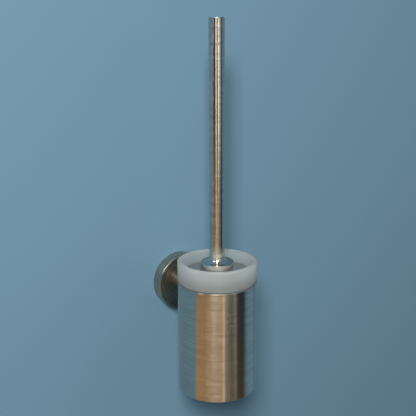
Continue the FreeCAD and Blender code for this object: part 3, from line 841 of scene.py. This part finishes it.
@dataclass
class Studio:
    """A pale floor, a plain backdrop, soft lights, reflection cards and the camera."""

    cup_centre: tuple[float, float, float]
    floor_drop: float = 0.24
    floor_half: float = 2.3
    floor_colour: str = "#D9DBDA"
    backdrop_half: float = 1.15
    backdrop_gap: float = 0.4 * MM
    backdrop_colour: str = "#7CA4BE"
    surround_radius: float = 1.6
    ceiling_corners: int = 48
    strip_width: float = 0.22
    strip_front: float = 0.9  # the strip's reach towards the camera, as a share of the surround
    strip_back: float = 0.1
    strip_drop: float = 0.02
    sky_colour: str = "#DDE4E9"
    sky_strength: float = 0.15
    camera_place: tuple[float, float, float] = (-0.4094, -0.6781, 0.2876)
    camera_heading: float = 33.68
    camera_pitch: float = 14.47
    camera_roll: float = -0.278
    camera_lens: float = 62.68
    camera_sensor: float = 36.0
    camera_near: float = 0.01

    def build(self) -> None:
        """Makes the whole studio."""
        self.make_camera()
        self.make_floor()
        self.make_backdrop()
        for row in CARD_ROWS:
            self.make_card_row(row)
        self.make_ceiling()
        for box in SOFT_BOXES:
            self.make_light(box)
        self.make_world()

    def make_camera(self) -> None:
        """Places the camera from its heading, pitch and roll in degrees."""
        heading, pitch, roll = (
            math.radians(angle) for angle in (self.camera_heading, self.camera_pitch, self.camera_roll))
        forward = Vector((math.sin(heading) * math.cos(pitch), math.cos(heading) * math.cos(pitch),
                          -math.sin(pitch)))
        level_right = Vector((math.cos(heading), -math.sin(heading), 0.0))
        level_up = level_right.cross(forward)
        right = math.cos(roll) * level_right + math.sin(roll) * level_up
        up = math.cos(roll) * level_up - math.sin(roll) * level_right
        data = bpy.data.cameras.new("camera")
        data.sensor_width = self.camera_sensor
        data.lens = self.camera_lens
        data.clip_start = self.camera_near
        camera = bpy.data.objects.new("camera", data)
        bpy.context.scene.collection.objects.link(camera)
        turn = Matrix((right, up, -forward)).transposed().to_4x4()
        camera.matrix_world = Matrix.Translation(self.camera_place) @ turn
        bpy.context.scene.camera = camera

    def stage_plate(self, name: str, corners: list[tuple[float, float, float]],
                    colour: str) -> bpy.types.Object:
        """Makes one flat stage surface that is seen from its front only.

        Args:
            name: the surface's name.
            corners: its corners, anticlockwise seen from the front.
            colour: its paint.

        Returns:
            The surface.
        """
        plate = mesh_object(name, np.array(corners), np.array([range(len(corners))]), smooth=False)
        material, tree = new_material(f"{name}_paint")
        paint = add_node(tree, "ShaderNodeBsdfDiffuse", {"Color": linear(colour)})
        clear = add_node(tree, "ShaderNodeBsdfTransparent")
        side = add_node(tree, "ShaderNodeNewGeometry")
        one_sided = add_node(tree, "ShaderNodeMixShader", links={
            0: side.outputs["Backfacing"], 1: paint.outputs["BSDF"], 2: clear.outputs["BSDF"]})
        add_surface(tree, one_sided.outputs["Shader"])
        plate.data.materials.append(material)
        plate.visible_shadow = False
        plate.visible_diffuse = False
        plate.visible_glossy = False
        return plate

    def make_floor(self) -> None:
        """Lays the pale floor under the object."""
        level = CAD_BOX[0].z - self.floor_drop
        half = self.floor_half
        self.stage_plate("floor", [(-half, -half, level), (half, -half, level),
                                   (half, half, level), (-half, half, level)], self.floor_colour)

    def make_backdrop(self) -> None:
        """Stands the plain backdrop against the rosette's back.

        Reflections see it, so that the sleeve's back mirrors its shade, and the rosette mirrors that.
        """
        gap, half = self.backdrop_gap, self.backdrop_half
        level = CAD_BOX[0].z - self.floor_drop
        backdrop = self.stage_plate("backdrop", [(-half, gap, level), (half, gap, level),
                                                 (half, gap, half), (-half, gap, half)],
                                    self.backdrop_colour)
        backdrop.visible_glossy = True

    def reflected_only(self, piece: bpy.types.Object, glow: bpy.types.Material) -> None:
        """Gives a surface its glow and hides it from everything except reflections.

        Args:
            piece: the surface.
            glow: its material.
        """
        glow.cycles.emission_sampling = "NONE"
        piece.data.materials.append(glow)
        piece.visible_camera = False
        piece.visible_diffuse = False
        piece.visible_shadow = False

    def make_card_row(self, row: CardRow) -> None:
        """Makes one row of cards.

        Its surface is a cylinder round the sleeve's axis, over angle and height, facing in, with one
        face for each degree. Every face holds its card's colour.

        Args:
            row: the row's heights, and the angles and colours of its cards.
        """
        camera_side = math.degrees(math.atan2(self.camera_place[1] - self.cup_centre[1],
                                              self.camera_place[0] - self.cup_centre[0]))
        degrees = np.arange(-180, 180)
        angle = np.radians(camera_side + degrees)[None, :]
        height = np.array([row.bottom, row.top])[:, None]
        points = np.stack([self.cup_centre[0] + self.surround_radius * np.cos(angle) + 0 * height,
                           self.cup_centre[1] + self.surround_radius * np.sin(angle) + 0 * height,
                           height + 0 * angle], axis=-1)
        faces = grid_faces(2, len(degrees), wrap=True)[:, ::-1]
        ring = mesh_object(row.name, points.reshape(-1, 3), faces, smooth=False)
        starts = np.array([start for start, _, _ in row.cards])
        paints = np.array([np.array(linear(colour)) * brightness for _, colour, brightness in row.cards])
        paint = paints[np.searchsorted(starts, degrees, side="right") - 1]
        colours = ring.data.color_attributes.new("card_colour", "FLOAT_COLOR", "CORNER")
        colours.data.foreach_set("color", np.repeat(paint, 4, axis=0).ravel())
        material, tree = new_material(f"{row.name}_glow")
        colour = add_node(tree, "ShaderNodeAttribute", {"attribute_name": "card_colour"})
        glow = add_node(tree, "ShaderNodeEmission", links={"Color": colour.outputs["Color"]})
        add_surface(tree, glow.outputs["Emission"])
        self.reflected_only(ring, material)

    def make_ceiling(self) -> None:
        """Makes the dim sheet overhead, and under it a bright strip that points at the camera's side."""
        angle = np.linspace(0, FULL_TURN, self.ceiling_corners, endpoint=False)
        disc = self.surround_radius * np.stack([np.cos(angle), np.sin(angle)], axis=-1)
        height = CARD_ROWS[-1].top
        self.hang_sheet("ceiling", disc, height, *CEILING)
        towards = np.array(self.camera_place[:2]) - np.array(self.cup_centre[:2])
        towards /= np.linalg.norm(towards)
        across = np.array([-towards[1], towards[0]]) * self.strip_width / 2
        front = towards * self.surround_radius * self.strip_front
        back = -towards * self.surround_radius * self.strip_back
        strip = np.array([front - across, front + across, back + across, back - across])
        self.hang_sheet("overhead_strip", strip, height - self.strip_drop, *OVERHEAD_STRIP)

    def hang_sheet(self, name: str, outline: np.ndarray, height: float, colour: str,
                   brightness: float) -> None:
        """Hangs one flat glowing sheet overhead, facing down.

        Args:
            name: the sheet's name.
            outline: (n, 2) corners about the sleeve's axis, anticlockwise from above.
            height: its height.
            colour: its colour.
            brightness: its brightness.
        """
        centred = outline + np.array(self.cup_centre[:2])
        points = np.column_stack([centred, np.full(len(outline), height)])
        sheet = mesh_object(name, points, np.arange(len(outline))[None, ::-1], smooth=False)
        material, tree = new_material(f"{name}_glow")
        glow = add_node(tree, "ShaderNodeEmission", {"Color": linear(colour), "Strength": brightness})
        add_surface(tree, glow.outputs["Emission"])
        self.reflected_only(sheet, material)

    def make_light(self, box: SoftBox) -> None:
        """Hangs one soft box, hidden from the camera and from reflections.

        Args:
            box: the soft box.
        """
        data = bpy.data.lights.new(box.name, "AREA")
        data.size = box.size
        data.energy = box.power
        data.color = linear(box.colour)[:3]
        light = bpy.data.objects.new(box.name, data)
        bpy.context.scene.collection.objects.link(light)
        light.location = box.place
        aim = Vector(self.cup_centre) - Vector(box.place)
        light.rotation_mode = "QUATERNION"
        light.rotation_quaternion = aim.to_track_quat("-Z", "Y")
        light.visible_camera = False
        light.visible_glossy = False

    def make_world(self) -> None:
        """Sets the even pale light from all round, and how the picture is shown."""
        world = bpy.data.worlds.new("studio_world")
        world.use_nodes = True
        sky = world.node_tree.nodes["Background"]
        sky.inputs["Color"].default_value = linear(self.sky_colour)
        sky.inputs["Strength"].default_value = self.sky_strength
        scene = bpy.context.scene
        scene.world = world
        scene.view_settings.view_transform = "Standard"
        scene.cycles.use_denoising = True


# ---------------------------------------------------------------- main


def main() -> None:
    """Builds every sub-assembly in order, then the studio."""
    logging.basicConfig(level=logging.INFO, format="%(message)s")
    low, high = node_box("sleeve")
    cup_centre = (0.0, float(low[1] + high[1]) / 2, 0.0)
    Holder(cup_centre).dress()
    Insert().dress()
    Handle(cup_centre).dress()
    BrushHead(cup_centre).dress()
    Studio(cup_centre).build()


if __name__ == "__main__":
    main()
